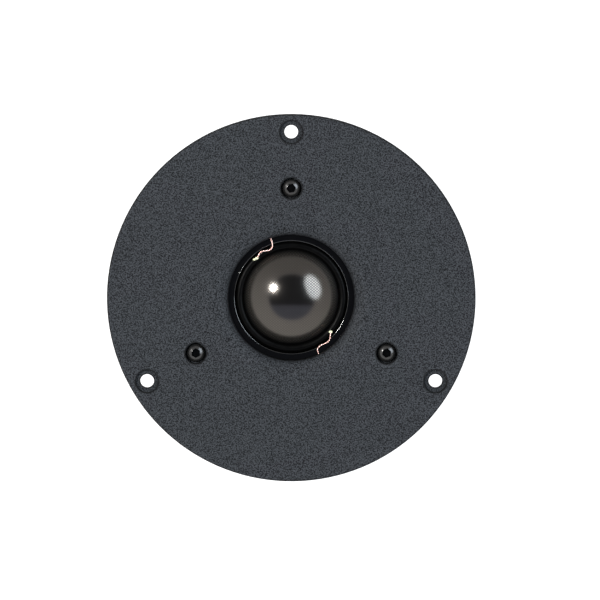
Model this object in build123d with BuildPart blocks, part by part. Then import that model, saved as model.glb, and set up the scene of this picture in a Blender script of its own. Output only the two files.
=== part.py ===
from build123d import *
import os
from math import asin, cos, radians, sin, sqrt, tan

# A 28 mm soft-dome tweeter on a round, textured aluminium faceplate, for flush mounting in a
# car door or pillar. Sound leaves along +Z. The origin is on the dome's axis, on the rear face
# of the flange, so the flange is above z = 0 and the motor and its rear chamber are below it.
# All sizes are millimetres.

# ---------------------------------------------------------------- driving dimensions
flange_r = 55.0
flange_thick = 2.8
boss_r = 38.0  # the raised boss behind the flange, which enters the baffle
boss_depth = 3.0
fixing_r = 49.7  # circle of the three holes that take the owner's screws
fixing_hole_r = 2.05
fixing_recess_r = 3.5
fixing_recess_depth = 1.0
screw_circle_r = 32.9  # circle of the three screws that hold the faceplate to the motor
screw_angles = (90, 210, 330)
lead_angles = (112, 292)  # where the two electrical leads run out, on opposite sides
clear = 0.02  # between parts that are pushed together

# the throat: a rolled edge that leads down to the dome
throat_r = 18.8
roll_width = 4.6
lip_bottom = -0.2
lip_land = 0.3

# the dome and what moves with it
coil_r = 14.0  # inside of the voice coil former
former_thick = 0.12
winding_thick = 0.38
dome_base_r = 14.3
dome_base_z = -2.1
dome_height = 6.0
cloth_thick = 0.25
skirt_length = 1.5
former_length = 5.2

# the half roll between dome and ring
roll_centre_r = 15.45
roll_mid_r = 1.0
surround_flange_r = 20.8
foot_length = 0.45

# the ring that clamps the surround
ring_r = 27.3
rim_inner_r = 16.9
rim_outer_r = 18.95
rim_top = -0.75
rim_fillet = 0.2
ring_land_z = -1.4
ring_land_r = 21.5

# the motor, front to back
top_plate_r, top_plate_bore_r, top_plate_thick = 37.5, 14.9, 5.0
magnet_r, magnet_bore_r, magnet_thick = 36.0, 17.0, 15.0
back_plate_r, back_plate_thick = 35.0, 6.0
pole_r, pole_top, pole_spigot_r, vent_r = 13.25, -4.2, 9.0, 6.0
cap_thick = 0.4

# the rear chamber
chamber_r, chamber_length, chamber_wall, chamber_floor = 33.0, 22.0, 2.2, 2.8
post_circle_r, post_r = 27.0, 4.2
post_angles = (30, 150, 270)
gasket_thick = 1.0

# M3 screws
m3_r, m3_clear_r, m3_tapped_r = 1.5, 1.7, 1.52
head_r, head_side, head_dome = 2.75, 0.55, 1.03
head_height = head_side + head_dome
socket_across_flats, socket_depth = 2.5, 1.3
head_clear_r, head_below_face = 0.45, 0.3

# the leads and terminals
wire_r = 0.18
strip_thick, strip_width = 0.3, 3.0
slot_width = 3.6
tab_thick = 0.8
tab_widths = {"positive": 4.8, "negative": 2.8}
block_inner_r, block_outer_r, block_width = 38.2, 45.5, 9.0
block_top, block_bottom = -4.0, -7.5
rivet_circle_r, rivet_r = 42.7, 0.95

# ---------------------------------------------------------------- levels worked out from those
boss_bottom = -boss_depth
top_plate_bottom = boss_bottom - top_plate_thick
magnet_bottom = top_plate_bottom - magnet_thick
back_plate_bottom = magnet_bottom - back_plate_thick
chamber_top = back_plate_bottom - gasket_thick
chamber_bottom = chamber_top - chamber_length
dome_top = dome_base_z + dome_height
dome_sphere_r = (dome_base_r**2 + dome_height**2) / (2 * dome_height)
sphere_centre_z = dome_top - dome_sphere_r
strip_z = ring_land_z + strip_thick / 2
surround_top = dome_base_z + roll_mid_r + cloth_thick / 2

os.makedirs("parts", exist_ok=True)


def polar(radius, angle, z=0.0):
    """The point at this radius, angle in degrees and height."""
    return (radius * cos(radians(angle)), radius * sin(radians(angle)), z)


def radial_plane(angle):
    """A plane through the axis whose local x is the radius at this angle and whose y is +Z."""
    outward = (cos(radians(angle)), sin(radians(angle)), 0)
    return Plane(origin=(0, 0, 0), x_dir=outward, z_dir=(outward[1], -outward[0], 0))


def sphere_z(radius_of_sphere, r):
    """Height of the dome's outer or inner sphere at radius r."""
    return sphere_centre_z + sqrt(radius_of_sphere**2 - r**2)


def cap_middle(radius, height):
    """A point halfway down a spherical cap's side, for a cap that stands on z = 0."""
    sphere_r = (radius**2 + height**2) / (2 * height)
    half = asin(radius / sphere_r) / 2
    return (sphere_r * sin(half), height - sphere_r * (1 - cos(half)))


def wide_circles(builder, radius):
    """The round edges of at least this radius, from the lowest to the highest."""
    circles = builder.edges().filter_by(GeomType.CIRCLE)
    return circles.filter_by(lambda e: e.radius > radius).sort_by(Axis.Z)


def save(part, name):
    """Labels a finished piece and writes it as its own STEP file."""
    part.label = name
    export_step(part, f"parts/{name}.step")


# ---------------------------------------------------------------- faceplate and its seal
with BuildPart() as faceplate:
    with BuildSketch(Plane.XZ):
        with BuildLine():
            roll_top_r = throat_r + roll_width
            land_z = lip_bottom + lip_land
            EllipticalCenterArc(
                (roll_top_r, land_z), roll_width, flange_thick - land_z, 90, arc_size=90
            )
            Polyline(
                (throat_r, land_z),
                (throat_r, lip_bottom),
                (ring_r + 0.2, lip_bottom),
                (ring_r + 0.2, boss_bottom),
                (boss_r, boss_bottom),
                (boss_r, 0),
                (flange_r, 0),
                (flange_r, flange_thick),
                (roll_top_r, flange_thick),
            )
        make_face()
    revolve(axis=Axis.Z)
    fillet(wide_circles(faceplate, flange_r - 0.1)[-1], 0.5)
    chamfer(wide_circles(faceplate, flange_r - 0.1)[0], 0.3)
    with Locations(Plane.XY.offset(flange_thick)):
        with PolarLocations(fixing_r, 3, start_angle=screw_angles[0]):
            CounterBoreHole(fixing_hole_r, fixing_recess_r, fixing_recess_depth)
        with PolarLocations(screw_circle_r, 3, start_angle=screw_angles[0]):
            CounterBoreHole(m3_clear_r, head_r + head_clear_r, head_height + head_below_face)
    # channels under the boss that let the leads out
    with BuildSketch(Plane.XY.offset(boss_bottom)):
        for angle in lead_angles:
            with Locations(Location(polar((ring_r + boss_r) / 2, angle), (0, 0, angle))):
                Rectangle(boss_r - ring_r + 2, slot_width)
    extrude(amount=strip_z + strip_thick - boss_bottom, mode=Mode.SUBTRACT)
save(faceplate.part, "faceplate")

with BuildPart() as flange_gasket:
    with BuildSketch(Plane.XY.offset(-gasket_thick)):
        Circle(flange_r - 1.2)
        Circle(boss_r + 1.5, mode=Mode.SUBTRACT)
        with PolarLocations(fixing_r, 3, start_angle=screw_angles[0]):
            Circle(fixing_hole_r + 0.45, mode=Mode.SUBTRACT)
        for angle in lead_angles:
            with Locations(Location(polar(boss_r + 4.5, angle), (0, 0, angle))):
                RectangleRounded(9.0, block_width + 2, 1.0, mode=Mode.SUBTRACT)
    extrude(amount=gasket_thick)
save(flange_gasket.part, "flange_gasket")


# ---------------------------------------------------------------- screws
def button_head_screw(length):
    """An M3 screw with a low domed head and a hex socket: its head's underside is at z = 0."""
    with BuildPart() as screw:
        with BuildSketch(Plane.XZ):
            with BuildLine():
                middle_r, middle_z = cap_middle(head_r, head_dome)
                Polyline((0, head_height), (0, 0), (head_r, 0), (head_r, head_side))
                ThreePointArc(
                    (head_r, head_side), (middle_r, head_side + middle_z), (0, head_height)
                )
            make_face()
        revolve(axis=Axis.Z)
        with Locations((0, 0, -length)):
            Cylinder(m3_r, length, align=(Align.CENTER, Align.CENTER, Align.MIN))
        chamfer(screw.edges().filter_by(GeomType.CIRCLE).sort_by(Axis.Z)[0], 0.3)
        with BuildSketch(Plane.XY.offset(head_height)):
            RegularPolygon(socket_across_flats / 2, 6, major_radius=False)
        extrude(amount=-socket_depth, mode=Mode.SUBTRACT)
    return screw.part


def screw_set(screw, radius, angles, z, turns, upward=True):
    """Copies of a screw round a circle, each socket turned as it was left by hand."""
    with BuildPart() as screws:
        for angle, turn in zip(angles, turns):
            tilt = 0 if upward else 180
            with Locations(Location(polar(radius, angle, z), (tilt, 0, turn))):
                add(screw)
    return screws.part


head_seat_z = flange_thick - head_height - head_below_face
faceplate_screw = button_head_screw(head_seat_z - top_plate_bottom - 0.5)
save(
    screw_set(faceplate_screw, screw_circle_r, screw_angles, head_seat_z, (8, 30, 19)),
    "faceplate_screws",
)

# ---------------------------------------------------------------- ring that clamps the diaphragm
with BuildPart() as diaphragm_ring:
    with BuildSketch(Plane.XZ):
        with BuildLine():
            Polyline(
                (rim_inner_r, boss_bottom + cloth_thick),
                (rim_inner_r, rim_top),
                (rim_outer_r, rim_top),
                (rim_outer_r, ring_land_z),
                (ring_land_r, ring_land_z),
                (ring_land_r, lip_bottom),
                (ring_r, lip_bottom),
                (ring_r, boss_bottom),
                (surround_flange_r + 0.3, boss_bottom),
                (surround_flange_r + 0.3, boss_bottom + cloth_thick),
                close=True,
            )
        make_face()
    revolve(axis=Axis.Z)
    fillet(diaphragm_ring.edges().sort_by_distance((rim_inner_r, 0, rim_top))[0], rim_fillet)
    with BuildSketch(Plane.XY.offset(ring_land_z)):
        for angle in lead_angles:
            with Locations(Location(polar((ring_land_r + ring_r) / 2, angle), (0, 0, angle))):
                Rectangle(ring_r - ring_land_r + 1, slot_width)
    extrude(amount=lip_bottom - ring_land_z, mode=Mode.SUBTRACT)
    pin_circle_r = (surround_flange_r + ring_r) / 2
    pin_r = 0.8
    with BuildSketch(Plane.XY.offset(boss_bottom)):
        with PolarLocations(pin_circle_r, 2, start_angle=22):
            Circle(pin_r + clear)
    extrude(amount=2.0, mode=Mode.SUBTRACT)
save(diaphragm_ring.part, "diaphragm_ring")

with BuildPart() as locating_pins:
    with BuildSketch(Plane.XY.offset(boss_bottom - 2.0)):
        with PolarLocations(pin_circle_r, 2, start_angle=22):
            Circle(pin_r)
    extrude(amount=3.9)
    chamfer(locating_pins.edges().filter_by(GeomType.CIRCLE), 0.15)
save(locating_pins.part, "locating_pins")

# ---------------------------------------------------------------- motor
with BuildPart() as top_plate:
    with BuildSketch(Plane.XY.offset(top_plate_bottom)):
        Circle(top_plate_r)
        Circle(top_plate_bore_r, mode=Mode.SUBTRACT)
        with PolarLocations(screw_circle_r, 3, start_angle=screw_angles[0]):
            Circle(m3_tapped_r, mode=Mode.SUBTRACT)
    extrude(amount=top_plate_thick)
    chamfer(wide_circles(top_plate, top_plate_r - 0.1), 0.5)
    with BuildSketch(Plane.XY.offset(boss_bottom)):
        with PolarLocations(pin_circle_r, 2, start_angle=22):
            Circle(pin_r + clear)
    extrude(amount=-2.1, mode=Mode.SUBTRACT)
save(top_plate.part, "top_plate")

with BuildPart() as magnet_ring:
    with BuildSketch(Plane.XY.offset(magnet_bottom)):
        Circle(magnet_r)
        Circle(magnet_bore_r, mode=Mode.SUBTRACT)
    extrude(amount=magnet_thick)
    chamfer(magnet_ring.edges().filter_by(GeomType.CIRCLE), 0.8)
save(magnet_ring.part, "magnet_ring")

with BuildPart() as back_plate:
    with BuildSketch(Plane.XY.offset(back_plate_bottom)):
        Circle(back_plate_r)
        Circle(pole_spigot_r, mode=Mode.SUBTRACT)
    extrude(amount=back_plate_thick)
    outer_edges = wide_circles(back_plate, back_plate_r - 0.1)
    chamfer(outer_edges[0], 1.4)
    chamfer(outer_edges[-1], 0.4)
    with BuildSketch(Plane.XY.offset(back_plate_bottom)):
        with PolarLocations(post_circle_r, 3, start_angle=post_angles[0]):
            Circle(m3_tapped_r)
    extrude(amount=5.0, mode=Mode.SUBTRACT)
save(back_plate.part, "back_plate")

with BuildPart() as pole_piece:
    with BuildSketch(Plane.XZ):
        with BuildLine():
            Polyline(
                (vent_r, back_plate_bottom),
                (pole_spigot_r - clear, back_plate_bottom),
                (pole_spigot_r - clear, magnet_bottom),
                (pole_r, magnet_bottom),
                (pole_r, pole_top),
                (vent_r + 1.5, pole_top),
                (vent_r, pole_top - 1.5),
                close=True,
            )
        make_face()
    revolve(axis=Axis.Z)
save(pole_piece.part, "pole_piece")

with BuildPart() as pole_cap:
    with BuildSketch(Plane.XZ):
        with BuildLine():
            Polyline(
                (pole_r + clear, pole_top - 7.0),
                (pole_r + cap_thick, pole_top - 7.0),
                (pole_r + cap_thick, pole_top + cap_thick),
                (vent_r + 1.6, pole_top + cap_thick),
                (vent_r + 1.6, pole_top),
                (pole_r + clear, pole_top),
                close=True,
            )
        make_face()
    revolve(axis=Axis.Z)
    fillet(wide_circles(pole_cap, pole_r + cap_thick - 0.01)[-1], 0.3)
save(pole_cap.part, "pole_cap")

with BuildPart() as pole_felt:
    with BuildSketch(Plane.XY.offset(pole_top + cap_thick)):
        Circle(11.0)
        Circle(vent_r + 1.6, mode=Mode.SUBTRACT)
    extrude(amount=1.0)
save(pole_felt.part, "pole_felt")

with BuildPart() as vent_sleeve:
    with BuildSketch(Plane.XY.offset(back_plate_bottom + 8.0)):
        Circle(vent_r - clear)
        Circle(vent_r - 1.8, mode=Mode.SUBTRACT)
    extrude(amount=12.0)
save(vent_sleeve.part, "vent_sleeve")

# ---------------------------------------------------------------- what moves: dome and voice coil
with BuildPart() as dome:
    with BuildSketch(Plane.XZ):
        with BuildLine():
            inner_sphere_r = dome_sphere_r - cloth_thick
            skirt_inner_r = coil_r + former_thick + 0.01
            inner_base_z = sphere_z(inner_sphere_r, skirt_inner_r)
            skirt_bottom = dome_base_z - skirt_length
            half_r = dome_base_r / 2
            ThreePointArc(
                (0, dome_top),
                (half_r, sphere_z(dome_sphere_r, half_r)),
                (dome_base_r, dome_base_z),
            )
            Polyline(
                (dome_base_r, dome_base_z),
                (dome_base_r, skirt_bottom),
                (skirt_inner_r, skirt_bottom),
                (skirt_inner_r, inner_base_z),
            )
            ThreePointArc(
                (skirt_inner_r, inner_base_z),
                (half_r, sphere_z(inner_sphere_r, half_r)),
                (0, dome_top - cloth_thick),
            )
            Line((0, dome_top - cloth_thick), (0, dome_top))
        make_face()
    revolve(axis=Axis.Z)
save(dome.part, "dome")

former_top = inner_base_z - clear
with BuildPart() as coil_former:
    with BuildSketch(Plane.XY.offset(former_top - former_length)):
        Circle(coil_r + former_thick)
        Circle(coil_r, mode=Mode.SUBTRACT)
    extrude(amount=former_length)
save(coil_former.part, "coil_former")

winding_bottom = former_top - former_length + 0.4
with BuildPart() as voice_coil:
    with BuildSketch(Plane.XY.offset(winding_bottom)):
        Circle(coil_r + former_thick + winding_thick)
        Circle(skirt_inner_r, mode=Mode.SUBTRACT)
    extrude(amount=skirt_bottom - 0.1 - winding_bottom)
save(voice_coil.part, "voice_coil")

# ---------------------------------------------------------------- surround: a half roll of doped cloth
with BuildPart() as surround:
    with BuildSketch(Plane.XZ):
        with BuildLine():
            outer_arc_r = roll_mid_r + cloth_thick / 2
            inner_arc_r = roll_mid_r - cloth_thick / 2
            flange_top = boss_bottom + cloth_thick
            foot_bottom = dome_base_z - foot_length
            ThreePointArc(
                (roll_centre_r - outer_arc_r, dome_base_z),
                (roll_centre_r, dome_base_z + outer_arc_r),
                (roll_centre_r + outer_arc_r, dome_base_z),
            )
            Polyline(
                (roll_centre_r + outer_arc_r, dome_base_z),
                (roll_centre_r + outer_arc_r, flange_top),
                (surround_flange_r, flange_top),
                (surround_flange_r, boss_bottom),
                (roll_centre_r + inner_arc_r, boss_bottom),
                (roll_centre_r + inner_arc_r, dome_base_z),
            )
            ThreePointArc(
                (roll_centre_r + inner_arc_r, dome_base_z),
                (roll_centre_r, dome_base_z + inner_arc_r),
                (roll_centre_r - inner_arc_r, dome_base_z),
            )
            Polyline(
                (roll_centre_r - inner_arc_r, dome_base_z),
                (roll_centre_r - inner_arc_r, foot_bottom),
                (roll_centre_r - outer_arc_r, foot_bottom),
                (roll_centre_r - outer_arc_r, dome_base_z),
            )
        make_face()
    revolve(axis=Axis.Z)
save(surround.part, "surround")

# ---------------------------------------------------------------- leads
# Each lead wire runs from its solder joint, over the ring's rim, along above the roll, and down
# to the drop of glue where it meets the coil's own wire. Points are radius, angle and height.
wire_routes = {
    "positive": [
        (19.85, 109.0, -0.85),
        (18.5, 109.0, -0.5),
        (17.1, 109.2, -0.5),
        (16.1, 110.4, -0.56),
        (15.5, 114.4, -0.6),
        (15.9, 118.2, -0.6),
        (16.35, 121.8, -0.56),
        (16.38, 125.4, -0.6),
        (15.9, 128.4, -0.68),
        (15.6, 131.2, -0.74),
    ],
    "negative": [
        (19.85, 295.4, -0.85),
        (18.5, 295.6, -0.5),
        (17.35, 296.4, -0.5),
        (16.8, 300.2, -0.5),
        (17.05, 304.8, -0.5),
        (17.3, 309.0, -0.5),
        (17.05, 312.6, -0.5),
        (16.35, 315.6, -0.62),
        (15.7, 318.6, -0.74),
    ],
}


def arc_radii(points):
    """The largest radius that each corner of a route has room for."""
    radii = []
    for before, here, after in zip(points, points[1:], points[2:]):
        run_in, run_out = Vector(here) - Vector(before), Vector(after) - Vector(here)
        half_turn = radians(run_in.get_angle(run_out)) / 2
        radii.append(0.45 * min(run_in.length, run_out.length) / tan(half_turn))
    return radii


def lead_wire(polarity):
    """The round wire along one of the two routes."""
    points = [polar(r, angle, z) for r, angle, z in wire_routes[polarity]]
    with BuildPart() as wire:
        with BuildLine() as route:
            FilletPolyline(*points, radius=arc_radii(points))
        with BuildSketch(Plane(origin=route.wire() @ 0, z_dir=route.wire() % 0)):
            Circle(wire_r)
        sweep(path=route.wire())
    return wire.part


def contact_strip(angle):
    """A flat strip from the solder joint out to the terminal, in the radial plane here."""
    with BuildPart() as strip:
        with BuildSketch(radial_plane(angle)):
            with BuildLine():
                FilletPolyline(
                    (rim_outer_r + 0.1, strip_z),
                    (block_inner_r + 1.55, strip_z),
                    (block_inner_r + 1.55, block_top + strip_thick / 2),
                    (block_outer_r - 0.7, block_top + strip_thick / 2),
                    radius=0.4,
                )
            trace(line_width=strip_thick)
        extrude(amount=strip_width / 2, both=True)
        with BuildSketch(Plane.XY.offset(block_top - 1)):
            with Locations(polar(rivet_circle_r, angle)):
                Circle(rivet_r + clear)
        extrude(amount=2, mode=Mode.SUBTRACT)
    return strip.part


def terminal_block(angle):
    """The insulator that holds a tab: a body, and a tongue that the faceplate clamps."""
    tongue_inner_r, tongue_outer_r = ring_r + 0.7, block_inner_r + 0.5
    riser_r = block_inner_r + 1.4
    tongue_width, riser_width = slot_width - 0.2, 5.0
    with BuildPart() as block:
        with BuildSketch(Plane.XY.offset(block_bottom)):
            middle = (block_inner_r + block_outer_r) / 2
            with Locations(Location(polar(middle, angle), (0, 0, angle))):
                RectangleRounded(block_outer_r - block_inner_r, block_width, 0.8)
            with Locations(polar(rivet_circle_r, angle)):
                Circle(rivet_r + clear, mode=Mode.SUBTRACT)
        extrude(amount=block_top - block_bottom)
        with BuildSketch(Plane.XY.offset(block_top)):
            middle = (block_inner_r + riser_r) / 2
            with Locations(Location(polar(middle, angle), (0, 0, angle))):
                Rectangle(riser_r - block_inner_r, riser_width)
        extrude(amount=ring_land_z - block_top)
        riser_edge = Vector(polar(riser_r, angle, ring_land_z))
        fillet(block.edges().sort_by_distance(riser_edge)[0], 0.35)
        with BuildSketch(Plane.XY.offset(boss_bottom)):
            middle = (tongue_inner_r + tongue_outer_r) / 2
            with Locations(Location(polar(middle, angle), (0, 0, angle))):
                Rectangle(tongue_outer_r - tongue_inner_r, tongue_width)
        extrude(amount=ring_land_z - boss_bottom)
    return block.part


def terminal_tab(angle, width):
    """A push-on blade: a foot on the block, bent down to point backwards."""
    foot_z = block_top + strip_thick + tab_thick / 2
    blade_r = block_outer_r + 0.05 + tab_thick / 2
    tip_z = -15.0
    with BuildPart() as tab:
        with BuildSketch(radial_plane(angle)):
            with BuildLine():
                FilletPolyline(
                    (block_inner_r + 2.2, foot_z),
                    (blade_r, foot_z),
                    (blade_r, tip_z),
                    radius=0.9,
                )
            trace(line_width=tab_thick)
        extrude(amount=width / 2, both=True)
        with BuildSketch(Plane.XY.offset(block_top)):
            with Locations(polar(rivet_circle_r, angle)):
                Circle(rivet_r + clear)
        extrude(amount=2, mode=Mode.SUBTRACT)
        tip_edges = tab.edges().filter_by(
            lambda e: abs(e.center().Z - tip_z) < 0.01 and e.length < tab_thick + 0.01
        )
        chamfer(tip_edges, 0.7)
        hole_plane = Plane(
            origin=polar(blade_r, angle, tip_z + 3.4),
            x_dir=(0, 0, 1),
            z_dir=polar(1, angle),
        )
        with BuildSketch(hole_plane):
            Circle(width / 6)
        extrude(amount=tab_thick, both=True, mode=Mode.SUBTRACT)
    return tab.part


washer_thick = 0.3
for angle, polarity in zip(lead_angles, wire_routes):
    save(lead_wire(polarity), f"lead_wire_{polarity}")
    save(contact_strip(angle), f"contact_strip_{polarity}")
    save(terminal_block(angle), f"terminal_block_{polarity}")
    save(terminal_tab(angle, tab_widths[polarity]), f"terminal_tab_{polarity}")


def dot(radius, height):
    """A low round dot with its flat side on z = 0."""
    with BuildPart() as drop:
        with BuildSketch(Plane.XZ):
            with BuildLine():
                ThreePointArc((radius, 0), cap_middle(radius, height), (0, height))
                Polyline((0, height), (0, 0), (radius, 0))
            make_face()
        revolve(axis=Axis.Z)
    return drop.part


solder_joint = dot(0.8, 0.6)
glue_drop = dot(0.6, 0.9)
with BuildPart() as solder_joints:
    for route in wire_routes.values():
        r, angle, z = route[0]
        with Locations(polar(r, angle, strip_z + strip_thick / 2)):
            add(solder_joint)
    for polarity in wire_routes:
        add(lead_wire(polarity), mode=Mode.SUBTRACT)
save(solder_joints.part, "solder_joints")

with BuildPart() as lead_glue:
    for route in wire_routes.values():
        r, angle, z = route[-1]
        with Locations(polar(r, angle, surround_top - 0.45)):
            add(glue_drop)
    for polarity in wire_routes:
        add(lead_wire(polarity), mode=Mode.SUBTRACT)
    with Locations((0, 0, dome_base_z)):
        Torus(roll_centre_r, roll_mid_r + cloth_thick / 2, mode=Mode.SUBTRACT)
save(lead_glue.part, "lead_glue")

with BuildPart() as polarity_washer:
    tab_top = block_top + strip_thick + tab_thick
    with BuildSketch(Plane.XY.offset(tab_top)):
        with Locations(polar(rivet_circle_r, lead_angles[0])):
            Circle(2.1)
            Circle(rivet_r + clear, mode=Mode.SUBTRACT)
    extrude(amount=washer_thick)
save(polarity_washer.part, "polarity_washer")


def rivet(head_z):
    """A rivet on the axis: its head rests at head_z and its tail is closed under the block."""
    head_r, head_height = 1.7, 0.6
    middle_r, middle_height = cap_middle(head_r, head_height)
    with BuildPart() as pin:
        with BuildSketch(Plane.XZ):
            with BuildLine():
                ThreePointArc(
                    (head_r, head_z),
                    (middle_r, head_z + middle_height),
                    (0, head_z + head_height),
                )
                Polyline(
                    (0, head_z + head_height),
                    (0, block_bottom - 0.6),
                    (1.2, block_bottom - 0.6),
                    (1.6, block_bottom - 0.3),
                    (1.6, block_bottom),
                    (rivet_r, block_bottom),
                    (rivet_r, head_z),
                    (head_r, head_z),
                )
            make_face()
        revolve(axis=Axis.Z)
    return pin.part


with BuildPart() as terminal_rivets:
    with Locations(polar(rivet_circle_r, lead_angles[0])):
        add(rivet(tab_top + washer_thick))
    with Locations(polar(rivet_circle_r, lead_angles[1])):
        add(rivet(tab_top))
save(terminal_rivets.part, "terminal_rivets")

# ---------------------------------------------------------------- rear chamber
with BuildPart() as chamber_gasket:
    with BuildSketch(Plane.XY.offset(chamber_top)):
        Circle(chamber_r - 0.2)
        Circle(chamber_r - chamber_wall - 0.3, mode=Mode.SUBTRACT)
        with PolarLocations(post_circle_r, 3, start_angle=post_angles[0]):
            Circle(post_r)
            Circle(m3_clear_r, mode=Mode.SUBTRACT)
    extrude(amount=gasket_thick)
save(chamber_gasket.part, "chamber_gasket")

chamber_recess = head_height + 0.5
with BuildPart() as rear_chamber:
    with BuildSketch(Plane.XY.offset(chamber_bottom)):
        Circle(chamber_r)
    extrude(amount=chamber_length)
    fillet(rear_chamber.edges().sort_by(Axis.Z)[0], 2.0)
    with BuildSketch(Plane.XY.offset(chamber_bottom + chamber_floor)):
        Circle(chamber_r - chamber_wall)
        with PolarLocations(post_circle_r, 3, start_angle=post_angles[0]):
            Circle(post_r, mode=Mode.SUBTRACT)
    extrude(amount=chamber_length, mode=Mode.SUBTRACT)
    with BuildSketch(Plane.XY.offset(chamber_bottom)):
        with PolarLocations(post_circle_r, 3, start_angle=post_angles[0]):
            Circle(m3_clear_r)
    extrude(amount=chamber_length, mode=Mode.SUBTRACT)
    with BuildSketch(Plane.XY.offset(chamber_bottom)):
        with PolarLocations(post_circle_r, 3, start_angle=post_angles[0]):
            Circle(head_r + head_clear_r)
    extrude(amount=chamber_recess, mode=Mode.SUBTRACT)
    # a shallow round recess in the rear face
    with BuildSketch(Plane.XY.offset(chamber_bottom)):
        Circle(18.0)
    extrude(amount=0.4, mode=Mode.SUBTRACT)
save(rear_chamber.part, "rear_chamber")

chamber_screw = button_head_screw(chamber_length - chamber_recess + gasket_thick + 4.5)
save(
    screw_set(
        chamber_screw,
        post_circle_r,
        post_angles,
        chamber_bottom + chamber_recess,
        (5, 40, 22),
        upward=False,
    ),
    "chamber_screws",
)

with BuildPart() as chamber_wadding:
    with BuildSketch(Plane.XY.offset(chamber_bottom + chamber_floor + 0.2)):
        Circle(post_circle_r - post_r - 0.4)
    extrude(amount=15.0)
    fillet(chamber_wadding.edges().filter_by(GeomType.CIRCLE), 2.5)
save(chamber_wadding.part, "chamber_wadding")
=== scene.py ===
"""The looks of the dome tweeter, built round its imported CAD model. All lengths are metres."""

import math
import random

import bpy
import bmesh
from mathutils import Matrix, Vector


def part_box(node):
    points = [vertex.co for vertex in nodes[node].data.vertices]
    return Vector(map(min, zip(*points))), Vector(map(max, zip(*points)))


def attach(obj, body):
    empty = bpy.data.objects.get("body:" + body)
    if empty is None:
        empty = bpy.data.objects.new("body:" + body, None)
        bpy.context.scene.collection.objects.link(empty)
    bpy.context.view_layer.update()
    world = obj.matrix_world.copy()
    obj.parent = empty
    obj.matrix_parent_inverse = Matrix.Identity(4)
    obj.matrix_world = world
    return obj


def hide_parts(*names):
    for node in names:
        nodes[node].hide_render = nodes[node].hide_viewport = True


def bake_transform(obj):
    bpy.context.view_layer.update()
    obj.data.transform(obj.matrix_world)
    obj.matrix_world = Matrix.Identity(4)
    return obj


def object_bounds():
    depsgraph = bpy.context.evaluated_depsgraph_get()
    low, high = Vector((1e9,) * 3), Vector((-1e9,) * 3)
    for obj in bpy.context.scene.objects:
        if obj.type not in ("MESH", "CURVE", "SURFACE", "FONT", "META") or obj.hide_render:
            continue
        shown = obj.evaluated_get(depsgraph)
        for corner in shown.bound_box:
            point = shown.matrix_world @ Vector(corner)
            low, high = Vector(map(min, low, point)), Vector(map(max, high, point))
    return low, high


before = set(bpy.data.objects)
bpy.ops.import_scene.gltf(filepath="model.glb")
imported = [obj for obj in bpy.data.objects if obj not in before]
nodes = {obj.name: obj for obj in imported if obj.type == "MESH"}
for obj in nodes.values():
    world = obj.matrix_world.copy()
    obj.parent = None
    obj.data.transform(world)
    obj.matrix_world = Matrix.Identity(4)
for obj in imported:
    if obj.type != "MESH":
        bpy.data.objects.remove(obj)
cad_low, cad_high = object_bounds()
MM = 0.001
NEAR_BLACK = (0.001, 0.001, 0.0012)

# where the faceplate's holes and recesses are, and the radii of the painted shade lines at their
# edges, in millimetres
HOLE_ANGLES = (90, 210, 330)
FIXING_CIRCLE, SCREW_CIRCLE = 49.7, 32.9
FIXING_HOLE_EDGE, FIXING_RECESS_EDGE, SCREW_RECESS_EDGE, RIM_EDGE = 2.15, 3.55, 3.3, 54.95


# ---------------------------------------------------------------- node helpers
class Nodes:
    """A node tree, with short calls for the nodes used here."""

    def __init__(self, tree):
        self.tree = tree

    def node(self, kind, **settings):
        made = self.tree.nodes.new(kind)
        for key, value in settings.items():
            setattr(made, key, value)
        return made

    def link(self, source, target):
        self.tree.links.new(source, target)

    def feed(self, socket, value):
        """Sets a socket to a number, or links another node's output to it."""
        if isinstance(value, bpy.types.NodeSocket):
            self.link(value, socket)
        else:
            socket.default_value = value

    def spread(self, value, low, high, to_low=0.0, to_high=1.0, smooth=False):
        """The value's run from low to high, made to run from to_low to to_high and held there."""
        made = self.node("ShaderNodeMapRange")
        if smooth:
            made.interpolation_type = "SMOOTHSTEP"
        self.feed(made.inputs["Value"], value)
        for key, number in zip(
            ("From Min", "From Max", "To Min", "To Max"), (low, high, to_low, to_high)
        ):
            made.inputs[key].default_value = number
        return made.outputs["Result"]

    def mix(self, share, dark, light):
        """The first colour where share is 0, the second where it is 1."""
        made = self.node("ShaderNodeMix", data_type="RGBA")
        self.feed(made.inputs["Factor"], share)
        for socket, colour in ((made.inputs[6], dark), (made.inputs[7], light)):
            is_socket = isinstance(colour, bpy.types.NodeSocket)
            self.feed(socket, colour if is_socket else (*colour, 1))
        return made.outputs[2]


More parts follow.
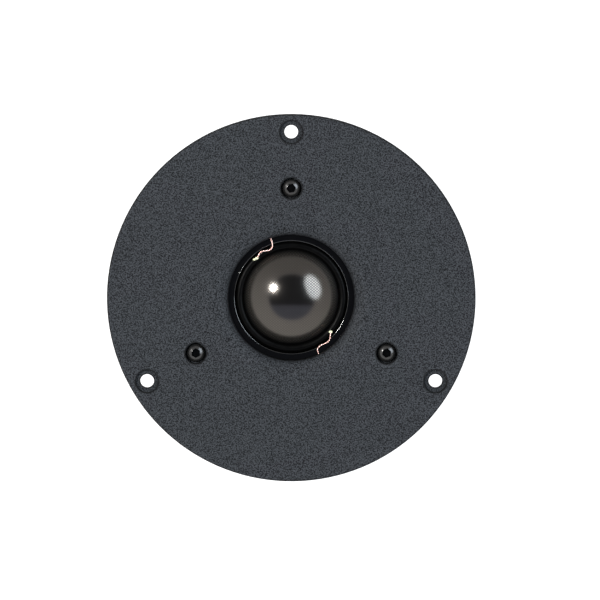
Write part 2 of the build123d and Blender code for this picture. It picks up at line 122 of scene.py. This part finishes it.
class Tree(Nodes):
    """A material's nodes. Places and distances in them are those of the shared frame."""

    def __init__(self, name):
        self.material = bpy.data.materials.new(name)
        self.material.use_nodes = True
        super().__init__(self.material.node_tree)
        self.shader = self.tree.nodes["Principled BSDF"]
        self.place = self.node("ShaderNodeTexCoord").outputs["Object"]

    def math(self, operation, *values):
        made = self.node("ShaderNodeMath", operation=operation)
        for socket, value in zip(made.inputs, values):
            self.feed(socket, value)
        return made.outputs[0]

    def parts(self, vector):
        """The x, y and z of a vector, as three sockets."""
        split = self.node("ShaderNodeSeparateXYZ")
        self.link(vector, split.inputs[0])
        return split.outputs

    def scaled(self, factors):
        """The place, stretched by these factors along x, y and z."""
        made = self.node("ShaderNodeVectorMath", operation="MULTIPLY")
        self.link(self.place, made.inputs[0])
        made.inputs[1].default_value = factors
        return made.outputs[0]

    def noise(self, size_mm, detail=3.0, rough=0.55):
        """Noise from 0 to 1 whose blobs are about this large."""
        made = self.node("ShaderNodeTexNoise")
        self.link(self.place, made.inputs["Vector"])
        made.inputs["Scale"].default_value = 1 / (size_mm * MM)
        made.inputs["Detail"].default_value = detail
        made.inputs["Roughness"].default_value = rough
        return made.outputs["Fac"]

    def cells(self, size_mm):
        """Height of round cells of about this size."""
        made = self.node("ShaderNodeTexVoronoi", feature="F1")
        self.link(self.place, made.inputs["Vector"])
        made.inputs["Scale"].default_value = 1 / (size_mm * MM)
        return made.outputs["Distance"]

    def bump(self, height, depth_mm, strength=1.0, under=None):
        """Bump whose height from 0 to 1 stands for this depth."""
        made = self.node("ShaderNodeBump")
        made.inputs["Distance"].default_value = depth_mm * MM
        made.inputs["Strength"].default_value = strength
        self.link(height, made.inputs["Height"])
        if under:
            self.link(under, made.inputs["Normal"])
        return made.outputs["Normal"]

    def radius(self):
        """Distance from the dome's axis, in metres."""
        flat = self.node("ShaderNodeVectorMath", operation="LENGTH")
        self.link(self.scaled((1, 1, 0)), flat.inputs[0])
        return flat.outputs["Value"]

    def nearest(self, circle_mm, angles):
        """Distance, seen square on, from the nearest of these places on a circle, in metres."""
        least = None
        for angle in angles:
            away = self.node("ShaderNodeVectorMath", operation="DISTANCE")
            self.link(self.scaled((1, 1, 0)), away.inputs[0])
            a = math.radians(angle)
            x, y = circle_mm * MM * math.cos(a), circle_mm * MM * math.sin(a)
            away.inputs[1].default_value = (x, y, 0)
            here = away.outputs["Value"]
            least = here if least is None else self.math("MINIMUM", least, here)
        return least

    def line(self, distance, at_mm, half_mm):
        """0 on a thin line at this distance, rising to 1 beside it."""
        off = self.math("ABSOLUTE", self.math("SUBTRACT", distance, at_mm * MM))
        return self.spread(off, half_mm * 0.4 * MM, half_mm * MM, smooth=True)

    def set(self, **sockets):
        """Feeds the shader's own sockets, named with underscores for spaces."""
        for key, value in sockets.items():
            socket = self.shader.inputs[key.replace("_", " ")]
            is_plain_colour = isinstance(value, tuple) and len(value) == 3
            self.feed(socket, (*value, 1) if is_plain_colour else value)
        return self.material


# ---------------------------------------------------------------- materials
def powder_coat():
    """Black textured paint of fine light grains on the faceplate, with painted shade on its walls
    and round its edges.
    """
    t = Tree("textured_powder_coat")
    grain = t.noise(0.36, 1.0, 0.5)
    fine = t.noise(0.24, 1.0)
    cloud = t.noise(9.0, 2.0)
    share = t.math("ADD", t.spread(grain, 0.36, 0.64), t.spread(cloud, 0.3, 0.7, -0.02, 0.02))
    colour = t.mix(share, (0.0008, 0.0012, 0.0018), (0.0305, 0.0334, 0.0375))
    # painted shade: the colour goes near black on steep walls, by how far each face turns from
    # square on
    normal = t.parts(t.node("ShaderNodeTexCoord").outputs["Normal"])
    flat = t.spread(t.math("ABSOLUTE", normal[2]), 0.12, 0.88, smooth=True)
    colour = t.mix(flat, NEAR_BLACK, colour)
    # and painted shade: thin near-black lines round the recesses, the holes and the rim
    fixing = t.nearest(FIXING_CIRCLE, HOLE_ANGLES)
    screw = t.nearest(SCREW_CIRCLE, HOLE_ANGLES)
    hole_shade_width, rim_shade_width, colour_left_in_edge_shade = 0.3, 0.4, 0.25
    off_edge_shade = t.math(
        "MULTIPLY",
        t.line(fixing, FIXING_RECESS_EDGE, hole_shade_width),
        t.line(fixing, FIXING_HOLE_EDGE, hole_shade_width),
    )
    off_edge_shade = t.math("MULTIPLY", off_edge_shade, t.line(screw, SCREW_RECESS_EDGE, hole_shade_width))
    off_edge_shade = t.math("MULTIPLY", off_edge_shade, t.line(t.radius(), RIM_EDGE, rim_shade_width))
    colour = t.mix(t.spread(off_edge_shade, 0, 1, colour_left_in_edge_shade, 1), NEAR_BLACK, colour)
    height = t.math("ADD", grain, t.math("MULTIPLY", fine, 0.4))
    return t.set(
        Base_Color=colour,
        Roughness=t.spread(fine, 0.3, 0.7, 0.52, 0.7),
        Specular_IOR_Level=0.11,
        Normal=t.bump(height, 0.12, 0.9),
    )


def black_oxide():
    """Blackened steel of the screws."""
    socket_floor, head_face = 1.3 * MM, 1.9 * MM
    t = Tree("black_oxide_steel")
    blotch = t.noise(1.1, 3.0)
    steel = t.mix(blotch, (0.014, 0.014, 0.014), (0.038, 0.037, 0.036))
    # painted shade: below the face of the heads the colour goes near black, in the sockets and all
    # over the chamber screws, which sit lower
    out_of_socket_shade = t.spread(t.parts(t.place)[2], socket_floor, head_face)
    return t.set(
        Base_Color=t.mix(out_of_socket_shade, (0.001, 0.001, 0.001), steel),
        Metallic=0.6,
        Roughness=t.spread(blotch, 0.3, 0.7, 0.15, 0.24),
        Normal=t.bump(t.noise(0.18), 0.012, 0.5),
    )


def polished_plastic(name, level):
    """Smooth black plastic or lacquer. level is how much it mirrors."""
    t = Tree(name)
    ripple = t.noise(2.4, 2.0)
    return t.set(
        Base_Color=t.mix(ripple, (0.0005, 0.0005, 0.0006), (0.0015, 0.0015, 0.0015)),
        Roughness=t.spread(ripple, 0.3, 0.7, 0.06, 0.09),
        Specular_IOR_Level=level,
        Normal=t.bump(t.noise(0.5), 0.004, 0.4),
    )


def woven(t, pitch_mm, angle):
    """Height of a fine weave seen square on: two sets of threads that cross at twice the angle."""
    x, y, _ = t.parts(t.place)
    turns = 2 * math.pi / (pitch_mm * MM)
    waves = []
    for side in (1, -1):
        across = t.math(
            "ADD",
            t.math("MULTIPLY", x, math.cos(angle) * turns),
            t.math("MULTIPLY", y, side * math.sin(angle) * turns),
        )
        waves.append(t.math("SINE", across))
    crossing = t.math("MULTIPLY", waves[0], waves[1])
    both = t.math("ADD", waves[0], waves[1])
    return t.spread(t.math("ADD", both, crossing), -2.0, 3.0)


def dome_cloth():
    """Woven cloth with a thin brown coating that mirrors the room."""
    dull_from, dull_to = 10.4 * MM, 13.9 * MM
    glue_from, glue_to = 12.8 * MM, 14.2 * MM
    t = Tree("coated_dome_cloth")
    weave = woven(t, 0.6, math.radians(50))
    blotch = t.noise(3.5, 3.0)
    # towards the coil the coating is rougher, and the glue under it makes it dark
    edge = t.spread(t.radius(), glue_from, glue_to, smooth=True)
    duller = t.spread(t.radius(), dull_from, dull_to, 0.0, 0.2, smooth=True)
    thread = t.mix(t.spread(weave, 0.1, 0.75), (0.027, 0.0252, 0.0236), (0.090, 0.083, 0.0745))
    thread = t.mix(t.spread(blotch, 0.35, 0.65, 0, 0.2), thread, (0.047, 0.044, 0.040))
    return t.set(
        Base_Color=t.mix(edge, thread, (0.016, 0.016, 0.016)),
        Metallic=0.95,
        Roughness=t.math("ADD", t.spread(weave, 0, 1, 0.17, 0.13), duller),
        Normal=t.bump(weave, 0.006, 1.0, t.bump(blotch, 0.03, 0.15)),
    )


def doped_cloth():
    """Black cloth, soaked and sticky, of the surround."""
    t = Tree("doped_surround_cloth")
    weave = woven(t, 0.45, math.radians(45))
    blotch = t.noise(1.6, 3.0)
    return t.set(
        Base_Color=t.mix(blotch, (0.0004, 0.0004, 0.0004), (0.0015, 0.0015, 0.0015)),
        Roughness=t.spread(blotch, 0.3, 0.7, 0.3, 0.42),
        Specular_IOR_Level=0.04,
        Normal=t.bump(weave, 0.02, 0.5, t.bump(blotch, 0.03, 0.4)),
    )


def metal(name, dark, light, rough, streak=None, metallic=1.0, grain_mm=0.6):
    """A bare or plated metal, with tool marks round the axis if streak gives their width."""
    t = Tree(name)
    blotch = t.noise(grain_mm * 6, 3.0)
    height = t.noise(grain_mm * 0.4)
    if streak:
        rings = t.node("ShaderNodeTexNoise", noise_dimensions="1D")
        t.link(t.radius(), rings.inputs["W"])
        rings.inputs["Scale"].default_value = 1 / (streak * MM)
        height = t.math("ADD", rings.outputs["Fac"], t.math("MULTIPLY", height, 0.25))
    return t.set(
        Base_Color=t.mix(t.spread(blotch, 0.3, 0.7), dark, light),
        Metallic=metallic,
        Roughness=t.spread(blotch, 0.3, 0.7, rough * 0.8, rough * 1.25),
        Normal=t.bump(height, 0.02, 0.5),
    )


def plain(name, dark, light, rough, grain_mm, depth_mm, level=0.4, cells=False):
    """A matt material: plastic, ferrite, foam, felt, fibre, glue or wadding."""
    t = Tree(name)
    blotch = t.noise(grain_mm * 5, 3.0)
    height = t.cells(grain_mm) if cells else t.noise(grain_mm, 3.0)
    share = t.math("ADD", t.math("MULTIPLY", blotch, 0.5), t.math("MULTIPLY", height, 0.5))
    return t.set(
        Base_Color=t.mix(t.spread(share, 0.25, 0.75), dark, light),
        Roughness=t.spread(blotch, 0.3, 0.7, rough - 0.08, rough + 0.08),
        Specular_IOR_Level=level,
        Normal=t.bump(height, depth_mm, 0.7),
    )


coat = powder_coat()
oxide = black_oxide()
gloss = polished_plastic("polished_black_plastic", 0.4)
bright_gloss = polished_plastic("lacquered_black_edge", 0.9)
dome_material = dome_cloth()
surround_material = doped_cloth()
zinc = metal("zinc_plate", (0.27, 0.28, 0.29), (0.34, 0.35, 0.36), 0.34, streak=0.35)
ground = metal("ground_steel", (0.5, 0.5, 0.5), (0.65, 0.65, 0.65), 0.25)
copper = metal("copper", (0.62, 0.29, 0.19), (0.86, 0.47, 0.34), 0.28)
lead_copper = metal("lead_copper", (0.86, 0.52, 0.44), (1.0, 0.82, 0.76), 0.26, grain_mm=0.1)
foil = metal("coil_foil", (0.6, 0.6, 0.62), (0.75, 0.75, 0.77), 0.3)
tinned = metal("tinned_strip", (0.38, 0.38, 0.36), (0.55, 0.54, 0.52), 0.3)
solder = metal("solder", (0.55, 0.56, 0.58), (0.8, 0.81, 0.83), 0.2, grain_mm=0.3)
brass = metal("terminal_brass", (0.42, 0.32, 0.14), (0.62, 0.50, 0.26), 0.3)
ferrite = plain("ferrite", (0.022, 0.022, 0.023), (0.055, 0.055, 0.058), 0.62, 0.35, 0.05)
foam = plain(
    "closed_cell_foam", (0.006, 0.006, 0.006), (0.02, 0.02, 0.02), 0.85, 0.5, 0.12, 0.25, cells=True
)
felt = plain("felt", (0.10, 0.10, 0.10), (0.22, 0.22, 0.22), 0.9, 0.3, 0.15, 0.2)
moulded = plain(
    "moulded_plastic", (0.005, 0.005, 0.0055), (0.012, 0.012, 0.013), 0.42, 0.28, 0.03, 0.3
)
bead_glue = plain("motor_glue", (0.02, 0.02, 0.02), (0.05, 0.048, 0.045), 0.25, 0.4, 0.03, 0.5)
glue = plain("pale_yellow_glue", (0.36, 0.36, 0.20), (0.74, 0.75, 0.52), 0.3, 0.25, 0.04, 0.5)
fibre = plain("red_fibre", (0.24, 0.012, 0.01), (0.42, 0.03, 0.024), 0.6, 0.3, 0.02)
wadding = plain("wadding", (0.5, 0.5, 0.48), (0.75, 0.75, 0.72), 0.9, 0.8, 0.4, 0.2)

on_node = {
    "faceplate": coat,
    "flange_gasket": foam,
    "faceplate_screws": oxide,
    "diaphragm_ring": gloss,
    "locating_pins": ground,
    "top_plate": zinc,
    "magnet_ring": ferrite,
    "back_plate": zinc,
    "pole_piece": zinc,
    "pole_cap": copper,
    "pole_felt": felt,
    "vent_sleeve": felt,
    "coil_former": foil,
    "voice_coil": copper,
    "contact_strip_positive": tinned,
    "contact_strip_negative": tinned,
    "terminal_block_positive": moulded,
    "terminal_block_negative": moulded,
    "terminal_tab_positive": brass,
    "terminal_tab_negative": brass,
    "terminal_rivets": brass,
    "polarity_washer": fibre,
    "chamber_gasket": foam,
    "rear_chamber": moulded,
    "chamber_screws": oxide,
    "chamber_wadding": wadding,
    "dome": dome_material,
    "surround": surround_material,
    "lead_wire_positive": lead_copper,
    "lead_wire_negative": lead_copper,
    "lead_glue": glue,
    "solder_joints": solder,
}
for name, material in on_node.items():
    mesh = nodes[name].data
    mesh.materials.clear()
    mesh.materials.append(material)


# ---------------------------------------------------------------- mesh helpers
def placed(name, mesh, material, smooth=True):
    """An object in the scene for this mesh, in one material."""
    mesh.materials.append(material)
    for polygon in mesh.polygons:
        polygon.use_smooth = smooth
    made = bpy.data.objects.new(name, mesh)
    bpy.context.scene.collection.objects.link(made)
    return made


def mesh_object(name, points, faces, material, smooth=True):
    mesh = bpy.data.meshes.new(name)
    mesh.from_pydata(points, [], faces)
    mesh.update()
    return placed(name, mesh, material, smooth)


def outward(made):
    """Turns every face of a closed mesh to look outwards."""
    work = bmesh.new()
    work.from_mesh(made.data)
    bmesh.ops.recalc_face_normals(work, faces=work.faces)
    work.to_mesh(made.data)
    work.free()
    return made


def lathe(name, profile, steps, material):
    """A closed ring or cap from a closed profile of (radius, height). Radius 0 makes a pole."""
    on_axis = 1e-7
    points, rows = [], []
    for r, z in profile:
        if r < on_axis:
            points.append((0, 0, z))
            rows.append([len(points) - 1] * steps)
            continue
        first = len(points)
        for k in range(steps):
            a = 2 * math.pi * k / steps
            points.append((r * math.cos(a), r * math.sin(a), z))
        rows.append(list(range(first, first + steps)))
    faces = []
    is_ring = all(r > on_axis for r, z in profile)
    for i in range(len(rows) if is_ring else len(rows) - 1):
        one, two = rows[i], rows[(i + 1) % len(rows)]
        for k in range(steps):
            n = (k + 1) % steps
            corners = [one[k], one[n], two[n], two[k]]
            corners = [c for j, c in enumerate(corners) if c not in corners[:j]]
            if len(corners) > 2:
                faces.append(corners)
    return outward(mesh_object(name, points, faces, material))


def arc(centre, radius, start, end, count):
    """Points (radius, height) on an arc, angles in degrees from the +r direction."""
    made = []
    for k in range(count + 1):
        a = math.radians(start + (end - start) * k / count)
        made.append((centre[0] + radius * math.cos(a), centre[1] + radius * math.sin(a)))
    return made


def in_metres(profile):
    return [(r * MM, z * MM) for r, z in profile]


def polar(r, angle, z):
    """A point from radius and height in millimetres and an angle in degrees."""
    a = math.radians(angle)
    return Vector((r * math.cos(a) * MM, r * math.sin(a) * MM, z * MM))


# ---------------------------------------------------------------- dome and surround
# these lengths are in millimetres
dome_low, dome_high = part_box("dome")
dome_r, skirt_inner_r, cloth, tuck = 14.3, 14.13, 0.25, 0.4
dome_steps, outer_rings, inner_rings = 256, 72, 36
base_z, skirt_z, apex_z = -2.1, dome_low.z / MM, dome_high.z / MM
sphere_r = (dome_r**2 + (apex_z - base_z) ** 2) / (2 * (apex_z - base_z))
sphere_z = apex_z - sphere_r


def cap(radius, edge_r, count):
    """The dome's sphere of this radius, from its pole out to edge_r."""
    last = math.asin(edge_r / radius)
    made = []
    for k in range(count + 1):
        a = last * k / count
        made.append((radius * math.sin(a), sphere_z + radius * math.cos(a)))
    return made


outer = cap(sphere_r, dome_r, outer_rings)
inner = cap(sphere_r - cloth, skirt_inner_r, inner_rings)[::-1]
skirt = [(dome_r, base_z - tuck), (dome_r, skirt_z), (skirt_inner_r, skirt_z)]
dome_profile = in_metres(outer + skirt + inner)
dome_piece = lathe("dome_of_cloth", dome_profile, dome_steps, dome_material)
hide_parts("dome")
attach(dome_piece, "diaphragm")

roll, roll_outer_r, roll_inner_r = (15.45, base_z), 1.125, 0.875
surround_steps = 288
over = arc(roll, roll_outer_r, 178, 0, 32)
under = arc(roll, roll_inner_r, 0, 180, 20)
# the outer leg turns into the flat flange, which the ring clamps on the top plate
flange = [(16.575, -2.6), (16.72, -2.77), (20.8, -2.76), (20.8, -2.99), (16.325, -2.99)]
# and the inner leg stands on the dome's skirt
foot = [(14.575, base_z - 0.44), (14.33, base_z - 0.44)]
surround_profile = in_metres(over + flange + under + foot)
surround_piece = lathe(
    "surround_of_cloth", surround_profile, surround_steps, surround_material
)
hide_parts("surround")
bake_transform(surround_piece)
# the roll goes round the axis, so how far a point would follow the dome goes by its radius; the
# share is worked out here but not used
still_r, moving_r = 16.45, 14.5
for vertex in surround_piece.data.vertices:
    share = (still_r - vertex.co.xy.length / MM) / (still_r - moving_r)
    share = min(1.0, max(0.0, share))

# ---------------------------------------------------------------- lead wires
# radius in millimetres, angle in degrees and height in millimetres, from the solder joint
# to the glue: the same routes as the CAD wires
wire_routes = {
    "positive": [
        (19.85, 109.0, -0.85),
        (18.5, 109.0, -0.5),
        (17.1, 109.2, -0.5),
        (16.1, 110.4, -0.56),
        (15.5, 114.4, -0.6),
        (15.9, 118.2, -0.6),
        (16.35, 121.8, -0.56),
        (16.38, 125.4, -0.6),
        (15.9, 128.4, -0.68),
        (15.6, 131.2, -0.74),
    ],
    "negative": [
        (19.85, 295.4, -0.85),
        (18.5, 295.6, -0.5),
        (17.35, 296.4, -0.5),
        (16.8, 300.2, -0.5),
        (17.05, 304.8, -0.5),
        (17.3, 309.0, -0.5),
        (17.05, 312.6, -0.5),
        (16.35, 315.6, -0.62),
        (15.7, 318.6, -0.74),
    ],
}


def smooth_line(points):
    """Points along the smooth curve that has these as its control points."""
    data = bpy.data.curves.new("route", "CURVE")
    data.dimensions = "3D"
    data.resolution_u = 10
    spline = data.splines.new("NURBS")
    spline.points.add(len(points) - 1)
    for target, point in zip(spline.points, points):
        target.co = (*point, 1)
    spline.order_u = 3
    spline.use_endpoint_u = True
    made = bpy.data.objects.new("route", data)
    line = [v.co.copy() for v in bpy.data.meshes.new_from_object(made).vertices]
    bpy.data.objects.remove(made)
    return line


def strands(name, line, count, helix_r, strand_r, turn_length, material, sides=8):
    """Wires twisted together along a line, each closed at both ends."""
    along, length = [0.0], 0.0
    for a, b in zip(line, line[1:]):
        length += (b - a).length
        along.append(length)
    tangents = []
    for i in range(len(line)):
        tangents.append((line[min(i + 1, len(line) - 1)] - line[max(i - 1, 0)]).normalized())
    normal = tangents[0].orthogonal().normalized()
    frames = []
    for tangent in tangents:
        normal = (normal - tangent * normal.dot(tangent)).normalized()
        frames.append((normal.copy(), tangent.cross(normal)))
    points, faces = [], []
    for s in range(count):
        first = len(points)
        for place, (u, v), run in zip(line, frames, along):
            a = 2 * math.pi * (s / count + run / turn_length)
            centre = place + (u * math.cos(a) + v * math.sin(a)) * helix_r
            for k in range(sides):
                b = 2 * math.pi * k / sides
                points.append(centre + (u * math.cos(b) + v * math.sin(b)) * strand_r)
        for i in range(len(line) - 1):
            for k in range(sides):
                n = (k + 1) % sides
                one, two = first + i * sides, first + (i + 1) * sides
                faces.append((one + k, one + n, two + n, two + k))
        faces.append(tuple(range(first, first + sides)))
        last = first + (len(line) - 1) * sides
        faces.append(tuple(range(last, last + sides)))
    return outward(mesh_object(name, points, faces, material))


def denser(line, step):
    """The same line with points at most this far apart."""
    made = [line[0]]
    for a, b in zip(line, line[1:]):
        parts = max(1, math.ceil((b - a).length / step))
        made += [a.lerp(b, k / parts) for k in range(1, parts + 1)]
    return made


def lump(name, centre, radii, material, seed, rough=0.12, flat_below=None):
    """A drop of glue or solder: a slightly uneven ball, cut flat where it sits."""
    draw = random.Random(seed)
    work = bmesh.new()
    bmesh.ops.create_icosphere(work, subdivisions=4, radius=1)
    ripples, wave_count = 2.2, 6
    waves = []
    for _ in range(wave_count):
        direction = Vector((draw.gauss(0, 1), draw.gauss(0, 1), draw.gauss(0, 1)))
        waves.append((direction * ripples, draw.uniform(0, 6)))
    for vertex in work.verts:
        swell = sum(math.sin(vertex.co.dot(w) + phase) for w, phase in waves) / len(waves)
        co = vertex.co * (1 + rough * swell)
        vertex.co = centre + Vector(co[i] * radii[i] for i in range(3))
        if flat_below is not None and vertex.co.z < flat_below:
            vertex.co.z = flat_below
    mesh = bpy.data.meshes.new(name)
    work.to_mesh(mesh)
    work.free()
    return placed(name, mesh, material)


def follow_dome(piece, node):
    """The piece stands for this node, which is hidden, and its placing is baked into its mesh."""
    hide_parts(node)
    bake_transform(piece)


strand_count, helix_r, strand_r, turn_length = 4, 0.1 * MM, 0.085 * MM, 1.1 * MM
route_step = 0.05 * MM
drop_z, smear_z, strip_z = -0.92, -1.0, -1.1
drop_size = (0.54 * MM, 0.46 * MM, 0.34 * MM)
smear_size = (0.42 * MM, 0.34 * MM, 0.24 * MM)
joint_size = (0.85 * MM, 0.75 * MM, 0.52 * MM)
smear_seed = 31

for polarity, route in wire_routes.items():
    line = denser(smooth_line([polar(*p) for p in route]), route_step)
    strip_end, dome_end = route[0][:2], route[-1][:2]

    name = f"lead_wire_{polarity}_strands"
    wire = strands(name, line, strand_count, helix_r, strand_r, turn_length, lead_copper)
    follow_dome(wire, f"lead_wire_{polarity}")

    name = f"glue_drop_{polarity}"
    drop = lump(name, polar(*dome_end, drop_z), drop_size, glue, len(route))
    follow_dome(drop, "lead_glue")

    if polarity == "positive":
        place = polar(15.85, 134.2, smear_z)
        smear = lump("glue_smear_positive", place, smear_size, glue, smear_seed)
        follow_dome(smear, "lead_glue")

    joint = lump(
        f"solder_joint_{polarity}",
        polar(*strip_end, strip_z),
        joint_size,
        solder,
        len(route) + 3,
        rough=0.06,
        flat_below=strip_z * MM,
    )
    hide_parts("solder_joints")
    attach(joint, "motor")

# ---------------------------------------------------------------- the ring's polished inner edge
# in millimetres, the middle of the edge's rounding and its radius
edge_middle, edge_round, edge_steps = (17.1, -0.95), 0.215, 360
edge_profile = in_metres(arc(edge_middle, edge_round, 90, 180, 16) + [edge_middle])
edge_piece = lathe("ring_polished_edge", edge_profile, edge_steps, bright_gloss)
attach(edge_piece, "motor")


# ---------------------------------------------------------------- motor details
def glue_bead(name, r, z, seed):
    """Adhesive squeezed out of a joint in the motor, uneven round the circle."""
    steps, sides, wave_count = 360, 8, 9
    size, mean_share, uneven_share = 0.34 * MM, 0.75, 0.9
    draw = random.Random(seed)
    waves = []
    for _ in range(wave_count):
        waves.append((draw.randint(3, 40), draw.uniform(0, 6.28), draw.uniform(0.3, 1)))
    points, faces = [], []
    for k in range(steps):
        a = 2 * math.pi * k / steps
        swell = sum(w * math.sin(n * a + p) for n, p, w in waves) / len(waves)
        radius = size * (mean_share + uneven_share * swell)
        for s in range(sides):
            b = 2 * math.pi * s / sides
            out = r + radius * math.cos(b)
            points.append((out * math.cos(a), out * math.sin(a), z + radius * math.sin(b)))
    for k in range(steps):
        for s in range(sides):
            one, two = k * sides, (k + 1) % steps * sides
            n = (s + 1) % sides
            faces.append((one + s, one + n, two + n, two + s))
    bead = outward(mesh_object(name, points, faces, bead_glue))
    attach(bead, "motor")


magnet_low, magnet_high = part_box("magnet_ring")
back_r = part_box("back_plate")[1].x
glue_bead("glue_bead_front", magnet_high.x - 0.65 * MM, magnet_high.z - 0.1 * MM, 4)
glue_bead("glue_bead_back", back_r - 0.3 * MM, magnet_low.z + 0.1 * MM, 9)


# ---------------------------------------------------------------- floor, light and camera
def pale_floor():
    """A pale floor that is as white as the ground behind the object."""
    t = Tree("pale_floor")
    return t.set(
        Base_Color=t.mix(t.noise(90.0, 2.0), (0.25, 0.25, 0.252), (0.28, 0.28, 0.28)),
        Roughness=0.8,
        Specular_IOR_Level=0.2,
        Emission_Color=(1.0, 1.0, 1.0),
        Emission_Strength=0.9,
    )


floor_half, floor_z = 3.0, cad_low.z
corners = ((-1, -1), (1, -1), (1, 1), (-1, 1))
floor = mesh_object(
    "floor",
    [(x * floor_half, y * floor_half, floor_z) for x, y in corners],
    [(0, 1, 2, 3)],
    pale_floor(),
    smooth=False,
)

# a bright studio all round, with the dark of the camera and its stand straight ahead
bright, dark, stand, uneven = 1.45, 0.09, 0.72, 0.34
warm, cool = (1.0, 0.985, 0.965), (0.86, 0.95, 1.22)
camera_way, up_way, dim_way = (0.02, -0.055, 0.998), (0, 1, 0), (0.26, 0.965, 0)
world = bpy.data.worlds.new("studio")
bpy.context.scene.world = world
world.use_nodes = True
studio = Nodes(world.node_tree)
sky = studio.node("ShaderNodeTexCoord").outputs["Generated"]


def along(way):
    """How far each direction of the studio points this way, from -1 to 1."""
    made = studio.node("ShaderNodeVectorMath", operation="DOT_PRODUCT")
    studio.link(sky, made.inputs[0])
    made.inputs[1].default_value = way
    return made.outputs["Value"]


ahead = studio.spread(along(camera_way), 0.735, 0.79, smooth=True)
below = studio.spread(along(up_way), -0.297, -0.287, stand, dark, smooth=True)
around = studio.spread(
    along(dim_way), -1, 1, bright * (1 + uneven), bright * (1 - uneven), smooth=True
)
strength = studio.node("ShaderNodeMix", data_type="FLOAT")
studio.link(ahead, strength.inputs["Factor"])
studio.link(around, strength.inputs["A"])
studio.link(below, strength.inputs["B"])
background = world.node_tree.nodes["Background"]
studio.link(strength.outputs["Result"], background.inputs["Strength"])
studio.link(studio.mix(ahead, warm, cool), background.inputs["Color"])


def softbox(name, off_axis, azimuth, half_width, half_height, radiance, colour, shape):
    """A round light of this angular size, seen from the dome, that looks at it."""
    away = 2.0
    a, b = math.radians(off_axis), math.radians(azimuth)
    out = Vector((math.sin(a) * math.cos(b), math.sin(a) * math.sin(b), math.cos(a)))
    width = 2 * away * math.tan(math.radians(half_width))
    height = 2 * away * math.tan(math.radians(half_height))
    area = width * height * math.pi / 4
    data = bpy.data.lights.new(name, "AREA")
    data.shape = shape
    data.size = width
    data.size_y = height
    data.energy = radiance * math.pi * area
    data.color = colour
    made = bpy.data.objects.new(name, data)
    made.location = out * away
    made.rotation_euler = out.to_track_quat("Z", "Y").to_euler()
    made.visible_camera = False
    bpy.context.scene.collection.objects.link(made)


softbox(
    "key",
    off_axis=34.0,
    azimuth=157.5,
    half_width=5.2,
    half_height=5.2,
    radiance=130.0,
    colour=(1.0, 0.99, 0.97),
    shape="DISK",
)
softbox(
    "fill",
    off_axis=41.0,
    azimuth=20.8,
    half_width=20.5,
    half_height=13.2,
    radiance=10.8,
    colour=(0.80, 0.90, 1.0),
    shape="ELLIPSE",
)

camera_data = bpy.data.cameras.new("camera")
camera = bpy.data.objects.new("camera", camera_data)
bpy.context.scene.collection.objects.link(camera)
bpy.context.scene.camera = camera
distance, tilt = 2.00, math.radians(5.5)
sensor, picture_px, plate_per_px = 36.0, 600, 0.29800 * MM
aside, above = 8.75 * plate_per_px, -1.2 * plate_per_px
camera_data.sensor_width = sensor
camera_data.lens = sensor * distance / (picture_px * plate_per_px)
camera_data.clip_start = 0.02
look_at = Vector((aside, above, cad_high.z))
back = Vector((0, math.sin(tilt), math.cos(tilt)))
camera.location = look_at + back * distance
camera.rotation_euler = (-tilt, 0, 0)

scene = bpy.context.scene
scene.view_settings.view_transform = "Standard"
scene.view_settings.look = "None"
